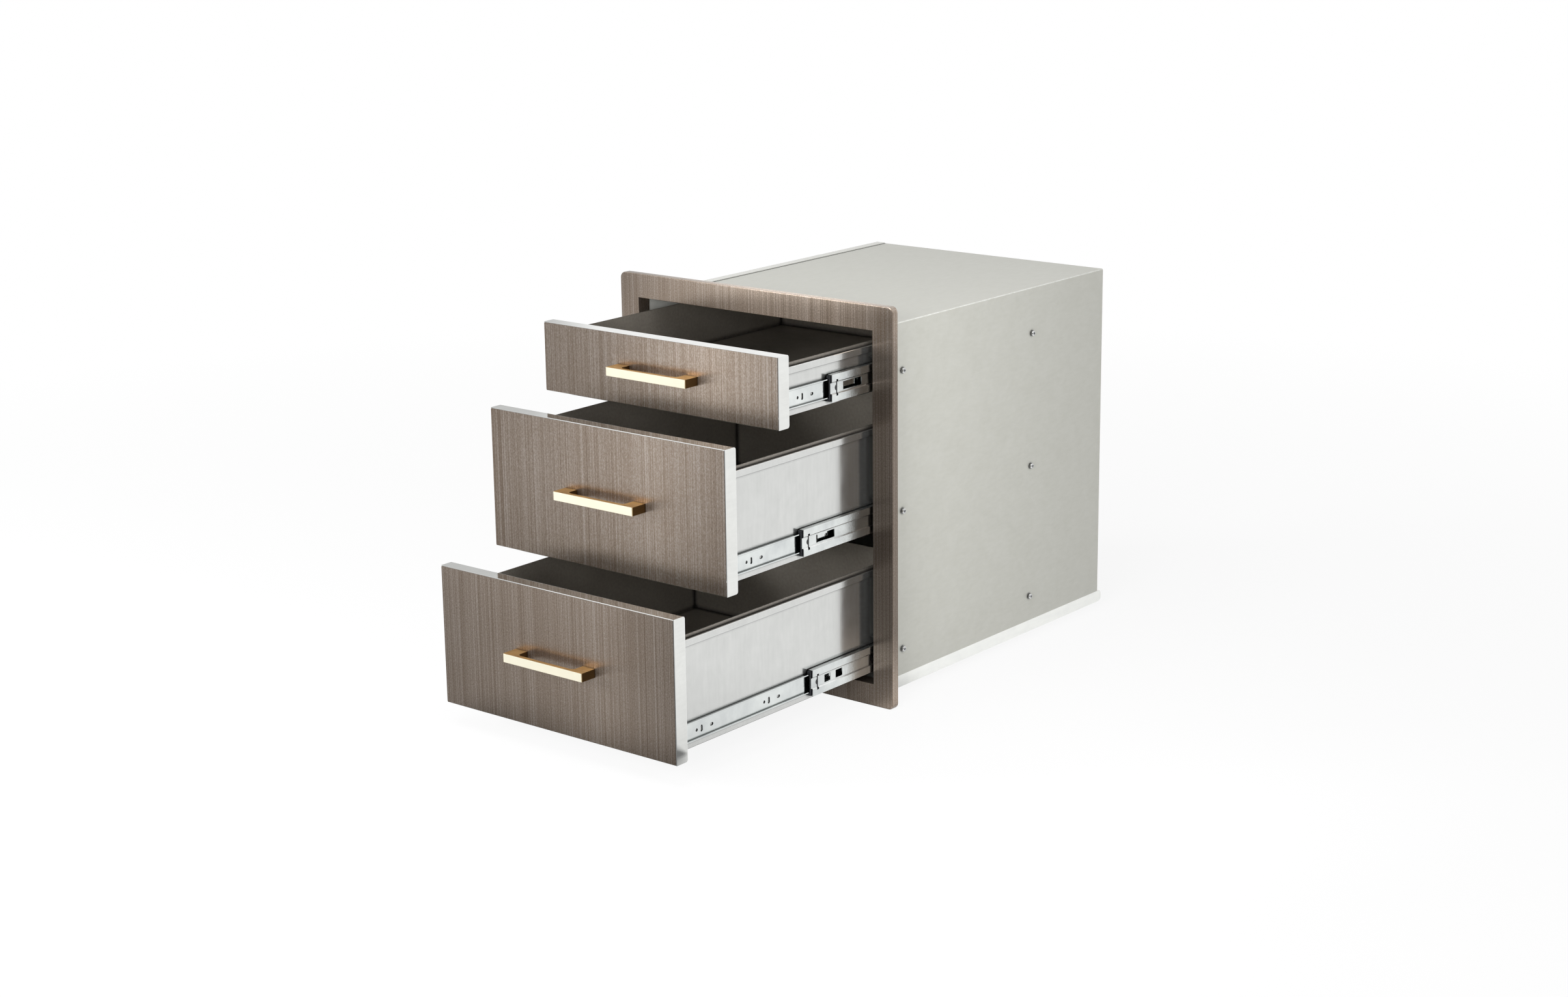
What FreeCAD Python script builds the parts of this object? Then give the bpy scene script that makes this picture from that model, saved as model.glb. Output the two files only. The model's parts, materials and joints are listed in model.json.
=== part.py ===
import FreeCAD, Part
import math
import os
from FreeCAD import Vector

# Built-in outdoor kitchen drawer unit: a folded face frame, a sheet casing behind it and three
# drawers on ball slides, each drawn out by its own amount. All sizes are in millimetres.
# X runs across the unit, to the right seen from the front, Y runs into the kitchen and Z up.
# The origin is the middle of the bottom rail's rear hem, on the face that seats on the kitchen.

# Drawer fronts, from which the frame takes its size
FRONT_WIDTH = 404.5
TOP_FRONT_HEIGHT = 94.8
MIDDLE_FRONT_HEIGHT = 189.5
BOTTOM_FRONT_HEIGHT = 189.5
FRONT_THICKNESS = 21.8
SIDE_GAP = 2.05
BELOW_GAP = 1.2
BETWEEN_GAP = 3.7
ABOVE_GAP = 3.1

# Drawer fronts: silver pan, decorative skin and the bends of both
SKIN_THICKNESS = 0.7
SKIN_INSET = 1.0
SKIN_CORNER = 1.2
PAN_SHEET = 1.0
PAN_FRONT_BEND = 0.9
PAN_REAR_BEND = 3.5
PAN_LAP = 10.0

# Face frame
SIDE_RAIL = 33.2
BOTTOM_RAIL = 31.0
TOP_RAIL = 33.5
FRAME_SHEET = 1.2
FRAME_RETURN = 11.0
FRAME_CORNER = 8.5
FRAME_BEND = 1.6
FRAME_EDGE = 0.6
HEM_WIDTH = 12.0
INNER_RETURN = 22.0

# Casing behind the frame
CASING_SHEET = 1.0
CASING_BEND = 2.0
LAP_WIDTH = 16.5
REAR_ROOM = 64.2
BACK_FLANGE = 12.0

# Base rails under the casing's sides
RAIL_SHEET = 1.5
RAIL_HEIGHT = 16.7
RAIL_LEG = 20.0
RAIL_OVERHANG = 10.0
RAIL_CORNER = 6.0

# Drawer boxes
BOX_DEPTH = 468.0
BOX_SHEET = 1.0
TOP_BOX_HEIGHT = 64.0
MIDDLE_BOX_HEIGHT = 144.0
BOTTOM_BOX_HEIGHT = 144.0
TOP_BOX_LIFT = 11.8
MIDDLE_BOX_LIFT = 12.0
BOTTOM_BOX_LIFT = 10.8
TRAY_GAP = 2.1
TRAY_RIM = 4.5
TRAY_BEND = 1.5
SIDE_FOOT = 12.0
BOX_HEM_HEIGHT = 8.5
BOX_HEM_WIDTH = 3.5
BOX_HEM_BEND = 0.9
BOX_HEM_START = 1.2

# Ball slides: each has a cabinet, a middle and a drawer member
SLIDE_SPACE = 12.7
SLIDE_LENGTH = 450.0
SLIDE_LEAD = 2.2
SLIDE_HEIGHT = 45.0
SLIDE_CENTRE = 22.8
SLIDE_SHEET = 1.2
CABINET_DEPTH = 10.0
CABINET_LIP = 2.3
MIDDLE_LENGTH = 440.0
MIDDLE_SETBACK = 2.0
MIDDLE_HEIGHT = 36.0
MIDDLE_STAND_OFF = 4.0
MIDDLE_DEPTH = 7.0
MIDDLE_WEB = 14.0
MIDDLE_STEP = 1.2
MIDDLE_SLOPE = 1.5
MIDDLE_TONGUE = 2.0
DRAWER_MEMBER_HEIGHT = 25.5
DRAWER_MEMBER_DEPTH = 4.8

# How far the drawers and their middle members stand out
TOP_OPEN = 192.9
MIDDLE_OPEN = 299.2
BOTTOM_OPEN = 401.4
TOP_MEMBER_OUT = 108.0
MIDDLE_MEMBER_OUT = 169.7
BOTTOM_MEMBER_OUT = 153.7

# Holes of the drawer members, from the member's front end
HOLE_ROUND_AT = 25.0
HOLE_SLOT_AT = 34.4
HOLE_OVAL_AT = 54.0
HOLE_PITCH = 133.2
HOLE_GROUPS = 3
HOLE_DROP = 1.5
HOLE_DIAMETER = 4.2
HOLE_SLOT_HEIGHT = 9.0
HOLE_OVAL_LENGTH = 6.5

# Windows in the middle members' webs, from the member's front end, as start and length
WINDOW_HEIGHT = 10.8
WINDOW_CORNER = 0.8
TOP_WINDOWS = [(24.7, 39.3)]
MIDDLE_WINDOWS = [(27.5, 38.5)]
BOTTOM_WINDOWS = [(26.0, 12.7), (50.0, 14.6)]

# End stop of each middle member and the slot in the web that it shows through
STOP_SLOT_AT = 11.0
STOP_SLOT_HEIGHT = 21.6
STOP_SLOT_WIDTH = 2.6
STOP_SLOT_FOOT_WIDTH = 4.0
STOP_SLOT_FOOT_HEIGHT = 3.2
STOP_BULGE = 4.0
STOP_FIT = 0.15
STOP_LENGTH = 19.0
STOP_NOSE = 2.5
STOP_LIP_LENGTH = 14.0
STOP_PLAY = 0.3
STOP_WEB = 1.1
STOP_BOSS_RECESS = 0.2

# Ball cages and balls of the slides
CAGE_SHEET = 0.6
CAGE_LENGTH = 120.0
CAGE_INNER_AT = 70.0
CAGE_OUTER_AT = 310.0
CAGE_INNER_PLAY = 0.4
CAGE_OUTER_PLAY = 1.0
CAGE_INNER_DEPTH = 4.2
CAGE_OUTER_DEPTH = 6.2
BALL_COUNT = 6
BALL_PITCH = 20.0
BALL_PLAY = 0.2
BALL_POCKET_PLAY = 0.15

# Screws and washers that hold the cabinet members to the casing
SCREW_FIRST = 38.7
SCREW_PITCH = 307.3
SCREW_DIAMETER = 4.0
SCREW_FIT = 0.05
SCREW_HEAD_DIAMETER = 7.5
SCREW_HEAD_HEIGHT = 3.0
SCREW_HEAD_ROUND = 1.4
RECESS_LENGTH = 4.2
RECESS_WIDTH = 1.1
RECESS_DEPTH = 1.6
WASHER_DIAMETER = 9.0
WASHER_THICKNESS = 1.2
WASHER_PLAY = 0.25

# Handles
HANDLE_LENGTH = 138.0
HANDLE_HEIGHT = 11.5
HANDLE_PROJECTION = 24.5
HANDLE_BAR = 6.0
HANDLE_LEG = 20.0
HANDLE_INNER_ROUND = 6.0
HANDLE_EDGE = 1.4
HANDLE_HOLES_APART = 128.0
HANDLE_SCREW_GRIP = 10.0
CUT_PAST = 1.0
SAME_SPOT = 0.01

FRONTS_TALL = BOTTOM_FRONT_HEIGHT + MIDDLE_FRONT_HEIGHT + TOP_FRONT_HEIGHT
OPENING_WIDTH = FRONT_WIDTH + 2 * SIDE_GAP
OPENING_HEIGHT = BELOW_GAP + FRONTS_TALL + 2 * BETWEEN_GAP + ABOVE_GAP
FRAME_WIDTH = OPENING_WIDTH + 2 * SIDE_RAIL
FRAME_HEIGHT = BOTTOM_RAIL + OPENING_HEIGHT + TOP_RAIL
FACE_Y = -FRAME_RETURN
FRAME_BOTTOM = -HEM_WIDTH / 2
OPENING_BOTTOM = FRAME_BOTTOM + BOTTOM_RAIL
OPENING_TOP = OPENING_BOTTOM + OPENING_HEIGHT
WALL_X = OPENING_WIDTH / 2 + FRAME_SHEET
CASING_X = WALL_X + CASING_SHEET
CASING_FLOOR = OPENING_BOTTOM - FRAME_SHEET
CASING_CEILING = OPENING_TOP + FRAME_SHEET
CASING_FRONT = FACE_Y + FRAME_SHEET
CASING_REAR = FACE_Y + FRONT_THICKNESS + BOX_DEPTH + REAR_ROOM
BOX_X = WALL_X - SLIDE_SPACE
TRAY_X = BOX_X - BOX_SHEET - TRAY_GAP
SLIDE_FRONT = FACE_Y + FRONT_THICKNESS + SLIDE_LEAD
BOTTOM_FRONT_Z = OPENING_BOTTOM + BELOW_GAP
MIDDLE_FRONT_Z = BOTTOM_FRONT_Z + BOTTOM_FRONT_HEIGHT + BETWEEN_GAP
TOP_FRONT_Z = MIDDLE_FRONT_Z + MIDDLE_FRONT_HEIGHT + BETWEEN_GAP

# Each drawer: name, front's bottom and height, box lift and height, opening, member's way, windows
DRAWERS = [
    ("top", TOP_FRONT_Z, TOP_FRONT_HEIGHT, TOP_BOX_LIFT, TOP_BOX_HEIGHT,
     TOP_OPEN, TOP_MEMBER_OUT, TOP_WINDOWS),
    ("middle", MIDDLE_FRONT_Z, MIDDLE_FRONT_HEIGHT, MIDDLE_BOX_LIFT, MIDDLE_BOX_HEIGHT,
     MIDDLE_OPEN, MIDDLE_MEMBER_OUT, MIDDLE_WINDOWS),
    ("bottom", BOTTOM_FRONT_Z, BOTTOM_FRONT_HEIGHT, BOTTOM_BOX_LIFT, BOTTOM_BOX_HEIGHT,
     BOTTOM_OPEN, BOTTOM_MEMBER_OUT, BOTTOM_WINDOWS),
]


def block(x0, x1, y0, y1, z0, z1):
    """A box between two corners."""
    return Part.makeBox(x1 - x0, y1 - y0, z1 - z0, Vector(x0, y0, z0))


def prism_y(points, y0, y1):
    """A closed outline of (x, z) points, extruded along Y."""
    corners = [Vector(x, y0, z) for x, z in points]
    face = Part.Face(Part.makePolygon(corners + corners[:1]))
    return face.extrude(Vector(0, y1 - y0, 0))


def prism_z(points, z0, z1):
    """A closed outline of (x, y) points, extruded along Z."""
    corners = [Vector(x, y, z0) for x, y in points]
    face = Part.Face(Part.makePolygon(corners + corners[:1]))
    return face.extrude(Vector(0, 0, z1 - z0))


def rounded(shape, axis, spots):
    """Rounds the edges that run along an axis through the (a, b, radius) spots of the other two."""
    others = [i for i in range(3) if i != axis]
    for a, b, radius in spots:
        chosen = []
        for edge in shape.Edges:
            first = edge.Vertexes[0].Point
            last = edge.Vertexes[-1].Point
            near = all(
                abs(point[others[0]] - a) < SAME_SPOT and abs(point[others[1]] - b) < SAME_SPOT
                for point in (first, last)
            )
            if near and abs(first[axis] - last[axis]) > SAME_SPOT:
                chosen.append(edge)
        shape = shape.makeFillet(radius, chosen)
    return shape


def rounded_plate(x, z0, z1, y0, y1, radius):
    """A plate centred on X = 0 with its four corners rounded."""
    plate = block(-x, x, y0, y1, z0, z1)
    spots = [(sx, z, radius) for sx in (-x, x) for z in (z0, z1)]
    return rounded(plate, 1, spots)


def edges_on_plane(shape, y, x_limit):
    """The edges that lie whole in the plane at y and reach past x_limit."""
    chosen = []
    for edge in shape.Edges:
        box = edge.BoundBox
        flat = abs(box.YMin - y) < SAME_SPOT and abs(box.YMax - y) < SAME_SPOT
        if flat and max(abs(box.XMin), abs(box.XMax)) > x_limit:
            chosen.append(edge)
    return chosen


def mirrored(shape):
    """The same piece on the left side."""
    return shape.mirror(Vector(0, 0, 0), Vector(1, 0, 0))


def save(name, shape):
    """One STEP file for each node."""
    shape.exportStep("parts/" + name + ".step")


def face_frame():
    """Folded pan: face, outer return, rear hem and the return round the opening."""
    half = FRAME_WIDTH / 2
    top = FRAME_BOTTOM + FRAME_HEIGHT
    frame = rounded_plate(half, FRAME_BOTTOM, top, FACE_Y, 0, FRAME_CORNER)
    frame = frame.makeFillet(FRAME_BEND, edges_on_plane(frame, FACE_Y, 0))
    inset = half - FRAME_SHEET
    hollow = rounded_plate(inset, FRAME_BOTTOM + FRAME_SHEET, top - FRAME_SHEET,
                           FACE_Y + FRAME_SHEET, -FRAME_SHEET, FRAME_CORNER - FRAME_SHEET)
    inner = half - HEM_WIDTH
    window = block(-inner, inner, -FRAME_SHEET, CUT_PAST,
                   FRAME_BOTTOM + HEM_WIDTH, top - HEM_WIDTH)
    opening = block(-OPENING_WIDTH / 2, OPENING_WIDTH / 2, FACE_Y - CUT_PAST, INNER_RETURN,
                    OPENING_BOTTOM, OPENING_TOP)
    sleeve = block(-WALL_X, WALL_X, FACE_Y + FRAME_SHEET, FACE_Y + INNER_RETURN,
                   CASING_FLOOR, CASING_CEILING)
    frame = frame.cut(hollow).cut(window).fuse(sleeve).cut(opening)
    frame = frame.removeSplitter()
    limit = OPENING_WIDTH / 2 + SAME_SPOT
    rim = [edge for edge in edges_on_plane(frame, FACE_Y, 0)
           if max(abs(edge.BoundBox.XMin), abs(edge.BoundBox.XMax)) < limit]
    return frame.makeFillet(FRAME_EDGE, rim)


def screw_spots():
    """The (y, z) centres of the screws through one side of the casing."""
    spots = []
    for name, front_z, front_h, lift, box_h, opened, member_out, windows in DRAWERS:
        for step in (0, 1):
            spots.append((SLIDE_FRONT + SCREW_FIRST + step * SCREW_PITCH,
                          front_z + lift + SLIDE_CENTRE))
    return spots


def side_drill():
    """The cylinders that cut the screw holes in one side of the casing."""
    radius = SCREW_DIAMETER / 2 + SCREW_FIT
    reach = CASING_SHEET + SLIDE_SHEET + 2 * CUT_PAST
    start = WALL_X - SLIDE_SHEET - CUT_PAST
    return [Part.makeCylinder(radius, reach, Vector(start, y, z), Vector(1, 0, 0))
            for y, z in screw_spots()]


def casing_wrap():
    """One sheet bent over the top and down the right side, drilled for the slide screws."""
    bottom = CASING_FLOOR - CASING_SHEET
    top = CASING_CEILING + CASING_SHEET
    outline = [(-WALL_X, CASING_CEILING), (WALL_X, CASING_CEILING), (WALL_X, bottom),
               (CASING_X, bottom), (CASING_X, top), (-WALL_X, top)]
    sheet = prism_y(outline, CASING_FRONT, CASING_REAR)
    sheet = rounded(sheet, 1, [(CASING_X, top, CASING_BEND)])
    return sheet.cut(side_drill())


def casing_left_side():
    """The left sheet with its narrow flange lapped over the top."""
    bottom = CASING_FLOOR - CASING_SHEET
    seat = CASING_CEILING + CASING_SHEET
    top = seat + CASING_SHEET
    outline = [(-CASING_X, bottom), (-WALL_X, bottom), (-WALL_X, seat),
               (LAP_WIDTH - CASING_X, seat), (LAP_WIDTH - CASING_X, top), (-CASING_X, top)]
    sheet = prism_y(outline, CASING_FRONT, CASING_REAR)
    sheet = rounded(sheet, 1, [(-CASING_X, top, CASING_BEND)])
    return sheet.cut([mirrored(tool) for tool in side_drill()])


def casing_bottom():
    """The flat sheet between the sides."""
    return block(-WALL_X, WALL_X, CASING_FRONT, CASING_REAR,
                 CASING_FLOOR - CASING_SHEET, CASING_FLOOR)


def casing_back():
    """The back sheet, with flanges turned forward inside the casing."""
    flange = CASING_REAR - CASING_SHEET - BACK_FLANGE
    back = block(-WALL_X, WALL_X, flange, CASING_REAR, CASING_FLOOR, CASING_CEILING)
    hollow = block(CASING_SHEET - WALL_X, WALL_X - CASING_SHEET,
                   flange - CUT_PAST, CASING_REAR - CASING_SHEET,
                   CASING_FLOOR + CASING_SHEET, CASING_CEILING - CASING_SHEET)
    return back.cut(hollow)


def base_rail():
    """Right angle rail: a leg under the casing and a leg hanging flush with its side."""
    top = CASING_FLOOR - CASING_SHEET
    low = top - RAIL_HEIGHT
    end = CASING_REAR + RAIL_OVERHANG
    leg = block(CASING_X - RAIL_SHEET, CASING_X, 0, end, low, top)
    leg = rounded(leg, 0, [(end, low, RAIL_CORNER), (end, top, RAIL_CORNER)])
    foot = block(CASING_X - RAIL_LEG, CASING_X - RAIL_SHEET, 0, CASING_REAR,
                 top - RAIL_SHEET, top)
    return leg.fuse(foot).removeSplitter()


def side_screw(y, z):
    """A pan head screw on the right side, seated on its washer."""
    seat = CASING_X + WASHER_THICKNESS
    tip = WALL_X - SLIDE_SHEET
    shank = Part.makeCylinder(SCREW_DIAMETER / 2, seat - tip, Vector(tip, y, z), Vector(1, 0, 0))
    return pan_head(seat, y, z).fuse(shank)


def pan_head(x, y, z):
    """A domed head standing out along +X from the face at x, with a cross recess."""
    head = Part.makeCylinder(SCREW_HEAD_DIAMETER / 2, SCREW_HEAD_HEIGHT,
                             Vector(x, y, z), Vector(1, 0, 0))
    crown = x + SCREW_HEAD_HEIGHT
    rim = [edge for edge in head.Edges
           if abs(edge.BoundBox.XMin - crown) < SAME_SPOT and edge.Length > SCREW_HEAD_HEIGHT]
    head = head.makeFillet(SCREW_HEAD_ROUND, rim)
    floor = crown - RECESS_DEPTH
    end = crown + CUT_PAST
    long = RECESS_LENGTH / 2
    slim = RECESS_WIDTH / 2
    cross = block(floor, end, y - long, y + long, z - slim, z + slim)
    cross = cross.fuse(block(floor, end, y - slim, y + slim, z - long, z + long))
    return head.cut(cross)


def side_washer(y, z):
    """A flat washer between the casing and a screw head."""
    ring = Part.makeCylinder(WASHER_DIAMETER / 2, WASHER_THICKNESS,
                             Vector(CASING_X, y, z), Vector(1, 0, 0))
    bore = Part.makeCylinder(SCREW_DIAMETER / 2 + WASHER_PLAY, WASHER_THICKNESS + 2 * CUT_PAST,
                             Vector(CASING_X - CUT_PAST, y, z), Vector(1, 0, 0))
    return ring.cut(bore)


def channel(depths, heights, y0, y1, centre):
    """A slide section on the right side from (depth from the wall, height from centre) points."""
    points = [(WALL_X - depth, centre + height) for depth, height in zip(depths, heights)]
    return prism_y(points, y0, y1)


def cabinet_member(centre):
    """Outer channel of a slide, screwed to the casing, with lips at its flanges."""
    half = SLIDE_HEIGHT / 2
    inner = half - SLIDE_SHEET
    lip = half - CABINET_LIP
    deep = CABINET_DEPTH
    back = CABINET_DEPTH - SLIDE_SHEET
    depths = [0, deep, deep, back, back, SLIDE_SHEET, SLIDE_SHEET, back, back, deep, deep, 0]
    heights = [half, half, lip, lip, inner, inner, -inner, -inner, -lip, -lip, -half, -half]
    member = channel(depths, heights, SLIDE_FRONT, SLIDE_FRONT + SLIDE_LENGTH, centre)
    return member.cut(side_drill())


def stop_shape(front, centre, shrink, x0, x1):
    """The slot shape of an end stop: a bar with two feet and a round bulge to the front."""
    y = front + STOP_SLOT_AT
    tall = STOP_SLOT_HEIGHT / 2 - shrink
    wide = STOP_SLOT_WIDTH / 2 - shrink
    foot = STOP_SLOT_FOOT_WIDTH / 2 - shrink
    knee = tall - STOP_SLOT_FOOT_HEIGHT + 2 * shrink
    bar = block(x0, x1, y - wide, y + wide, centre - tall, centre + tall)
    upper = block(x0, x1, y - foot, y + foot, centre + knee, centre + tall)
    lower = block(x0, x1, y - foot, y + foot, centre - tall, centre - knee)
    bulge = Part.makeCylinder(STOP_BULGE - shrink, x1 - x0, Vector(x0, y, centre), Vector(1, 0, 0))
    half = bulge.common(block(x0, x1, y - STOP_BULGE, y, centre - STOP_BULGE, centre + STOP_BULGE))
    return bar.fuse([upper, lower, half]).removeSplitter()


def middle_member(front, centre, windows):
    """Middle channel: two shoulders, a stepped web with windows, and flanges to the drawer."""
    half = MIDDLE_HEIGHT / 2
    inner = half - SLIDE_SHEET
    out = MIDDLE_STAND_OFF
    step = out + MIDDLE_STEP
    web = MIDDLE_WEB / 2
    slope = web + MIDDLE_SLOPE
    ease = SLIDE_SHEET * math.tan(math.atan2(MIDDLE_STEP, MIDDLE_SLOPE) / 2)
    deep = out + MIDDLE_DEPTH
    depths = [out, out, step, step, out, out, deep, deep]
    heights = [half, slope, web, -web, -slope, -half, -half, -inner]
    thick = SLIDE_SHEET
    depths += [out + thick, out + thick, step + thick, step + thick, out + thick, out + thick]
    heights += [-inner, -slope - ease, -web - ease, web + ease, slope + ease, inner]
    depths += [deep, deep]
    heights += [inner, half]
    start = front - MIDDLE_TONGUE
    member = channel(depths, heights, start, start + MIDDLE_TONGUE + MIDDLE_LENGTH, centre)
    x0 = WALL_X - deep - CUT_PAST
    x1 = WALL_X - out + CUT_PAST
    tools = []
    for side in (-1, 1):
        low = centre + side * (web + half) / 2 - (half - web) / 2 - CUT_PAST * (side < 0)
        high = centre + side * (web + half) / 2 + (half - web) / 2 + CUT_PAST * (side > 0)
        tools.append(block(x0, x1, start - CUT_PAST, front, low, high))
    for at, length in windows:
        window = block(x0, x1, front + at, front + at + length,
                       centre - WINDOW_HEIGHT / 2, centre + WINDOW_HEIGHT / 2)
        spots = [(y, z, WINDOW_CORNER) for y in (front + at, front + at + length)
                 for z in (centre - WINDOW_HEIGHT / 2, centre + WINDOW_HEIGHT / 2)]
        tools.append(rounded(window, 0, spots))
    tools.append(stop_shape(front, centre, 0, x0, x1))
    return member.cut(tools)


def end_stop(front, centre):
    """Plastic stop in the front end of a middle member, with a boss that fills its slot."""
    near = MIDDLE_STAND_OFF + MIDDLE_STEP + SLIDE_SHEET
    reach = MIDDLE_STAND_OFF + MIDDLE_DEPTH
    tall = MIDDLE_HEIGHT / 2 - SLIDE_SHEET
    lip = DRAWER_MEMBER_HEIGHT / 2 + STOP_PLAY
    web_end = WALL_X - near - STOP_WEB
    lip_end = WALL_X - reach
    face = WALL_X - near
    nose = front - STOP_NOSE
    body = block(web_end, face, nose, nose + STOP_LENGTH, centre - tall, centre + tall)
    for side in (-1, 1):
        z0 = min(side * lip, side * tall) + centre
        z1 = max(side * lip, side * tall) + centre
        body = body.fuse(block(lip_end, face, nose, nose + STOP_LIP_LENGTH, z0, z1))
    crown = WALL_X - MIDDLE_STAND_OFF - MIDDLE_STEP - STOP_BOSS_RECESS
    boss = stop_shape(front, centre, STOP_FIT, web_end, crown)
    return body.fuse(boss).removeSplitter()


def drawer_member(front, centre):
    """Inner channel of a slide, fixed flat on a drawer's side plate, with its fixing holes."""
    half = DRAWER_MEMBER_HEIGHT / 2
    inner = half - SLIDE_SHEET
    wall = SLIDE_SPACE
    web = wall - SLIDE_SHEET
    tip = wall - DRAWER_MEMBER_DEPTH
    depths = [wall, wall, tip, tip, web, web, tip, tip]
    heights = [half, -half, -half, -inner, -inner, inner, inner, half]
    member = channel(depths, heights, front, front + SLIDE_LENGTH, centre)
    x0 = BOX_X - CUT_PAST
    x1 = BOX_X + SLIDE_SHEET + CUT_PAST
    radius = HOLE_DIAMETER / 2
    z = centre - HOLE_DROP
    tools = []
    for group in range(HOLE_GROUPS):
        base = front + group * HOLE_PITCH
        tools.append(Part.makeCylinder(radius, x1 - x0, Vector(x0, base + HOLE_ROUND_AT, z),
                                       Vector(1, 0, 0)))
        tools.append(slot_x(x0, x1, base + HOLE_SLOT_AT, z, radius, HOLE_SLOT_HEIGHT, 2))
        tools.append(slot_x(x0, x1, base + HOLE_OVAL_AT, z, radius, HOLE_OVAL_LENGTH, 1))
    return member.cut(tools)


def slot_x(x0, x1, y, z, radius, length, axis):
    """A slot cutter along X, its long way along Y (axis 1) or Z (axis 2)."""
    half = length / 2 - radius
    dy = half if axis == 1 else 0
    dz = half if axis == 2 else 0
    wide = radius if axis == 2 else half
    tall = radius if axis == 1 else half
    cutter = block(x0, x1, y - wide, y + wide, z - tall, z + tall)
    for sign in (-1, 1):
        end = Part.makeCylinder(radius, x1 - x0, Vector(x0, y + sign * dy, z + sign * dz),
                                Vector(1, 0, 0))
        cutter = cutter.fuse(end)
    return cutter


def inner_cage_sizes():
    """Depth of the inner cage's web, ball centre depth and height, and ball diameter."""
    web = MIDDLE_STAND_OFF + MIDDLE_STEP + SLIDE_SHEET + CAGE_INNER_PLAY
    outer = MIDDLE_HEIGHT / 2 - SLIDE_SHEET
    inner = DRAWER_MEMBER_HEIGHT / 2
    deep = web + CAGE_SHEET + (CAGE_INNER_DEPTH - CAGE_SHEET) / 2
    return web, deep, (outer + inner) / 2, outer - inner - 2 * BALL_PLAY


def outer_cage_sizes():
    """The same for the outer cage, between the cabinet and middle members."""
    web = SLIDE_SHEET + CAGE_OUTER_PLAY
    outer = SLIDE_HEIGHT / 2 - SLIDE_SHEET
    inner = MIDDLE_HEIGHT / 2
    deep = web + CAGE_SHEET + (CAGE_OUTER_DEPTH - CAGE_SHEET) / 2
    return web, deep, (outer + inner) / 2, outer - inner - 2 * BALL_PLAY


def ball_rows(sizes, start, centre):
    """The centres of a cage's balls, in an upper and a lower row."""
    web, deep, height, diameter = sizes
    lead = (CAGE_LENGTH - (BALL_COUNT - 1) * BALL_PITCH) / 2
    return [Vector(WALL_X - deep, start + lead + i * BALL_PITCH, centre + side * height)
            for side in (-1, 1) for i in range(BALL_COUNT)]


def cage(sizes, depth, start, centre):
    """A thin channel whose two lips hold the balls."""
    web, deep, height, diameter = sizes
    half = height + CAGE_SHEET / 2
    inner = half - CAGE_SHEET
    tip = web + depth
    back = web + CAGE_SHEET
    depths = [web, tip, tip, back, back, tip, tip, web]
    heights = [half, half, inner, inner, -inner, -inner, -half, -half]
    strip = channel(depths, heights, start, start + CAGE_LENGTH, centre)
    pocket = diameter / 2 + BALL_POCKET_PLAY
    rise = 2 * CAGE_SHEET
    tools = [Part.makeCylinder(pocket, rise, point - Vector(0, 0, rise / 2), Vector(0, 0, 1))
             for point in ball_rows(sizes, start, centre)]
    return strip.cut(tools)


def balls(sizes, start, centre):
    """The steel balls of one cage."""
    return [Part.makeSphere(sizes[3] / 2, point) for point in ball_rows(sizes, start, centre)]


def front_pan(front_y, z0, height, box_z, box_height):
    """Silver pan behind the skin: face, four returns and a back that laps behind the box."""
    half = FRONT_WIDTH / 2
    face = front_y + SKIN_THICKNESS
    rear = front_y + FRONT_THICKNESS
    z1 = z0 + height
    pan = block(-half, half, face, rear, z0, z1)
    pan = rounded(pan, 0, [(rear, z0, PAN_REAR_BEND), (rear, z1, PAN_REAR_BEND)])
    pan = pan.makeFillet(PAN_FRONT_BEND, edges_on_plane(pan, face, 0))
    inner_round = PAN_REAR_BEND - PAN_SHEET
    low = z0 + PAN_SHEET
    high = z1 - PAN_SHEET
    back = rear - PAN_SHEET
    hollow = block(PAN_SHEET - half, half - PAN_SHEET, face + PAN_SHEET, back, low, high)
    hollow = rounded(hollow, 0, [(back, low, inner_round), (back, high, inner_round)])
    lap_x = TRAY_X - PAN_LAP
    window = block(-lap_x, lap_x, back - CUT_PAST, rear + CUT_PAST,
                   box_z + PAN_LAP, box_z + box_height - PAN_LAP)
    return pan.cut([hollow, window] + handle_drill(front_y, z0 + height / 2))


def front_skin(front_y, z0, height):
    """Thin decorative sheet on the pan's face."""
    half = FRONT_WIDTH / 2 - SKIN_INSET
    skin = rounded_plate(half, z0 + SKIN_INSET, z0 + height - SKIN_INSET,
                         front_y, front_y + SKIN_THICKNESS, SKIN_CORNER)
    return skin.cut(handle_drill(front_y, z0 + height / 2))


def handle_drill(front_y, z):
    """The cylinders of a handle's two screws, through the front and into the handle's legs."""
    radius = SCREW_DIAMETER / 2 + SCREW_FIT
    start = front_y - HANDLE_SCREW_GRIP
    reach = HANDLE_SCREW_GRIP + SKIN_THICKNESS + PAN_SHEET + CUT_PAST
    return [Part.makeCylinder(radius, reach, Vector(side * HANDLE_HOLES_APART / 2, start, z),
                              Vector(0, 1, 0)) for side in (-1, 1)]


def handle(front_y, z):
    """Bar handle cut from one length: a flat bar with a square leg at each end."""
    half = HANDLE_LENGTH / 2
    leg = half - HANDLE_LEG
    out = front_y - HANDLE_PROJECTION
    inside = out + HANDLE_BAR
    z0 = z - HANDLE_HEIGHT / 2
    outline = [(-half, front_y), (-half, out), (half, out), (half, front_y),
               (leg, front_y), (leg, inside), (-leg, inside), (-leg, front_y)]
    bar = prism_z(outline, z0, z0 + HANDLE_HEIGHT)
    bar = rounded(bar, 2, [(-leg, inside, HANDLE_INNER_ROUND), (leg, inside, HANDLE_INNER_ROUND),
                           (-half, out, HANDLE_EDGE), (half, out, HANDLE_EDGE)])
    return bar.cut(handle_drill(front_y, z))


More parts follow.
